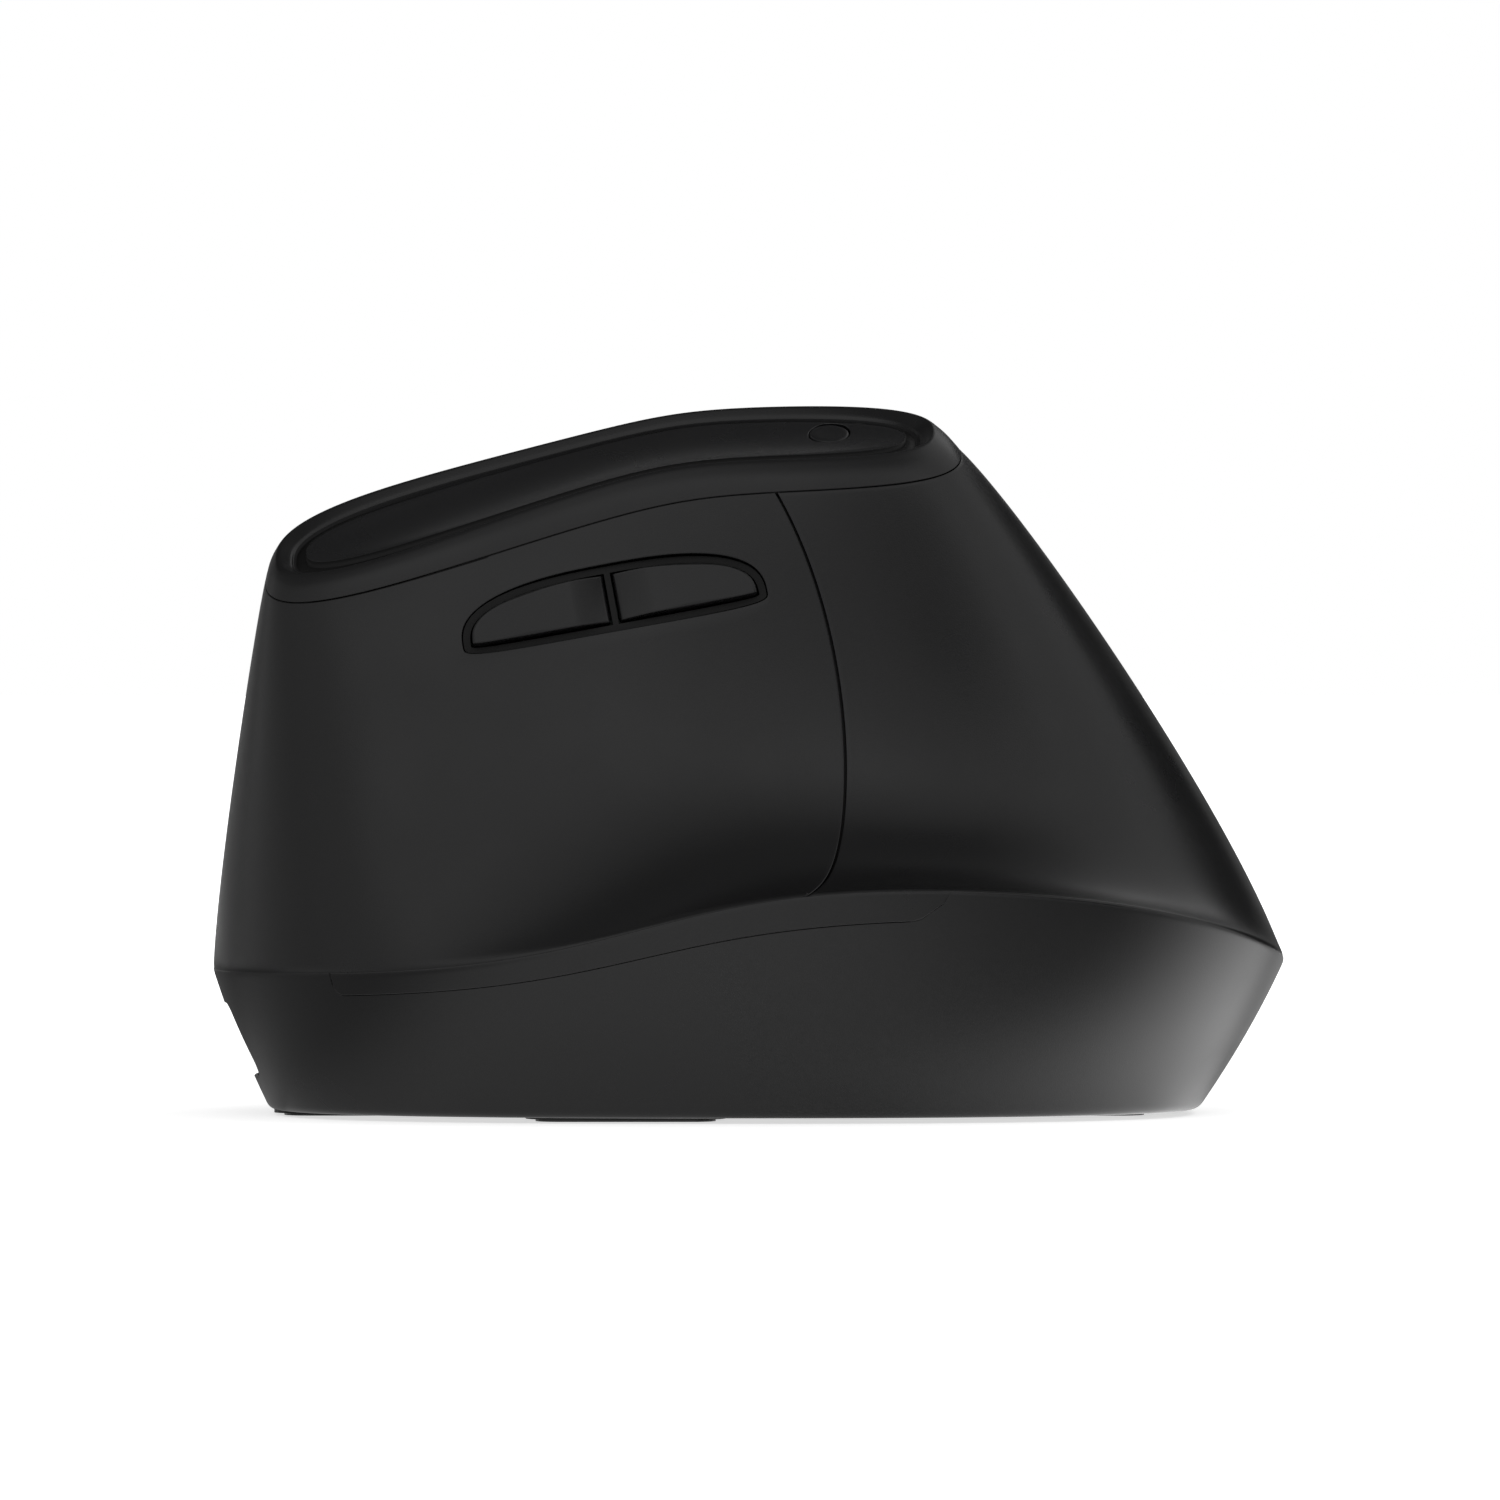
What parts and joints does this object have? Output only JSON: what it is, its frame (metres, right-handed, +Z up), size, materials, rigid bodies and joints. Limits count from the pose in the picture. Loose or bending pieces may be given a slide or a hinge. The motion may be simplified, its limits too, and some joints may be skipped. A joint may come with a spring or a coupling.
{
  "type": "vertical ergonomic mouse",
  "caption": "Tall right-handed computer mouse with a flared ledge base, thumb hollow, side keys, dished top cap, finger buttons and a pressable scroll wheel.",
  "frame": {"origin": "on the table under the middle of the ledge's length and width", "axes": "+X from the nose to the heel, +Y towards the fingers, the thumb side faces -Y, +Z up from the table"},
  "size_m": [0.108, 0.072, 0.0713],
  "materials": {
    "base": "fine satin texture",
    "strip": "fine satin texture",
    "shell": "soft-touch satin",
    "keys": "soft-touch satin",
    "rim": "satin",
    "dish": "matt",
    "dpi": "matt",
    "side_frame": "gloss black",
    "side_keys": "satin",
    "tyre": "matt rubber",
    "hub": "gloss",
    "steel": "turned steel",
    "frame": "as moulded",
    "encoder": "as moulded",
    "board": "solder mask",
    "switch": "as moulded",
    "plunger": "as moulded",
    "chip": "as moulded",
    "lens": "clear, polished",
    "socket": "bright shell",
    "battery": "foil pouch",
    "feet": "slick"
  },
  "bodies": {
    "casing": {"base_shell": "base", "ledge_strip": "strip", "thumb_panel": "shell", "palm_shell": "shell", "finger_panel": "shell", "top_rim": "rim", "top_dish": "dish", "side_button_frame": "side_frame", "wheel_bracket": "frame", "cradle_pin": "steel", "button_pins": "steel", "inner_frame": "frame", "finger_board": "board", "left_switch": "switch", "right_switch": "switch", "middle_switch": "switch", "side_board": "board", "forward_switch": "switch", "back_switch": "switch", "dpi_board": "board", "dpi_switch": "switch", "main_board": "board", "sensor_chip": "chip", "sensor_lens": "lens", "usb_c_socket": "socket", "battery": "battery", "power_switch": "switch", "pairing_switch": "switch", "glide_feet": "feet", "case_screws": "steel", "board_screws": "steel"},
    "left_button": {"left_button": "keys"},
    "right_button": {"right_button": "keys"},
    "forward_button": {"forward_button": "side_keys"},
    "back_button": {"back_button": "side_keys"},
    "dpi_button": {"dpi_button": "dpi"},
    "wheel_cradle": {"wheel_cradle": "frame", "wheel_encoder": "encoder"},
    "wheel": {"wheel_tyre": "tyre", "wheel_hub": "hub", "wheel_axle": "steel"},
    "power_slider": {"power_slider": "frame"},
    "pairing_button": {"pairing_button": "frame"},
    "left_plunger": {"left_plunger": "plunger"},
    "right_plunger": {"right_plunger": "plunger"},
    "middle_plunger": {"middle_plunger": "plunger"},
    "forward_plunger": {"forward_plunger": "plunger"},
    "back_plunger": {"back_plunger": "plunger"},
    "dpi_plunger": {"dpi_plunger": "plunger"},
    "pairing_plunger": {"pairing_plunger": "plunger"}
  },
  "joints": [
    {"name": "left_click", "type": "hinge", "parent": "casing", "child": "left_button", "pos_m": [-0.0088, 0.00359, 0.05302], "axis": [0.1237, -0.5818, 0.8039], "range_deg": [0, 1], "stiffness_Nm_per_rad": 1.2, "springref_deg": -0.69},
    {"name": "right_click", "type": "hinge", "parent": "casing", "child": "right_button", "pos_m": [-0.00305, 0.0164, 0.03769], "axis": [0.1237, -0.5818, 0.8039], "range_deg": [0, 0.8], "stiffness_Nm_per_rad": 1.5, "springref_deg": -0.69},
    {"name": "wheel_press", "type": "hinge", "parent": "casing", "child": "wheel_cradle", "pos_m": [-0.01568, 0.00806, 0.04097], "axis": [0.1237, -0.5818, 0.8039], "range_deg": [0, 2.5], "stiffness_Nm_per_rad": 0.35, "springref_deg": -1.72},
    {"name": "wheel_spin", "type": "hinge", "parent": "wheel_cradle", "child": "wheel", "pos_m": [-0.03078, 0.00698, 0.04252], "axis": [0.1237, -0.5818, 0.8039], "continuous": true},
    {"name": "forward_press", "type": "slide", "parent": "casing", "child": "forward_button", "axis": [0.017, 0.975, -0.2215], "range_m": [0, 0.0006], "stiffness_N_per_m": 800, "springref_m": -0.0003},
    {"name": "back_press", "type": "slide", "parent": "casing", "child": "back_button", "axis": [0.017, 0.975, -0.2215], "range_m": [0, 0.0006], "stiffness_N_per_m": 800, "springref_m": -0.0003},
    {"name": "dpi_press", "type": "slide", "parent": "casing", "child": "dpi_button", "axis": [0, 0.4225, -0.9064], "range_m": [0, 0.0006], "stiffness_N_per_m": 800, "springref_m": -0.0003},
    {"name": "power_slide", "type": "slide", "parent": "casing", "child": "power_slider", "axis": [1, 0, 0], "range_m": [0, 0.0025]},
    {"name": "pairing_press", "type": "slide", "parent": "casing", "child": "pairing_button", "axis": [0, 0, 1], "range_m": [0, 0.0004], "stiffness_N_per_m": 800, "springref_m": -0.0003},
    {"name": "left_plunger_travel", "type": "slide", "parent": "casing", "child": "left_plunger", "axis": [0.1671, -0.7863, -0.5948], "range_m": [0, 0.0006]},
    {"name": "right_plunger_travel", "type": "slide", "parent": "casing", "child": "right_plunger", "axis": [0.1671, -0.7863, -0.5948], "range_m": [0, 0.0006]},
    {"name": "middle_plunger_travel", "type": "slide", "parent": "casing", "child": "middle_plunger", "axis": [0.1671, -0.7863, -0.5948], "range_m": [0, 0.0006]},
    {"name": "forward_plunger_travel", "type": "slide", "parent": "casing", "child": "forward_plunger", "axis": [0.017, 0.975, -0.2215], "range_m": [0, 0.0006]},
    {"name": "back_plunger_travel", "type": "slide", "parent": "casing", "child": "back_plunger", "axis": [0.017, 0.975, -0.2215], "range_m": [0, 0.0006]},
    {"name": "dpi_plunger_travel", "type": "slide", "parent": "casing", "child": "dpi_plunger", "axis": [0, 0.4225, -0.9064], "range_m": [0, 0.0006]},
    {"name": "pairing_plunger_travel", "type": "slide", "parent": "casing", "child": "pairing_plunger", "axis": [0, 0, 1], "range_m": [0, 0.0004]}
  ],
  "couplings": [
    {"joint": "left_plunger_travel", "follows": "left_click", "m_per_rad": 0.0288},
    {"joint": "right_plunger_travel", "follows": "right_click", "m_per_rad": 0.037084},
    {"joint": "middle_plunger_travel", "follows": "wheel_press", "m_per_rad": 0.0095},
    {"joint": "forward_plunger_travel", "follows": "forward_press", "ratio": 1},
    {"joint": "back_plunger_travel", "follows": "back_press", "ratio": 1},
    {"joint": "dpi_plunger_travel", "follows": "dpi_press", "ratio": 1},
    {"joint": "pairing_plunger_travel", "follows": "pairing_press", "ratio": 1}
  ]
}
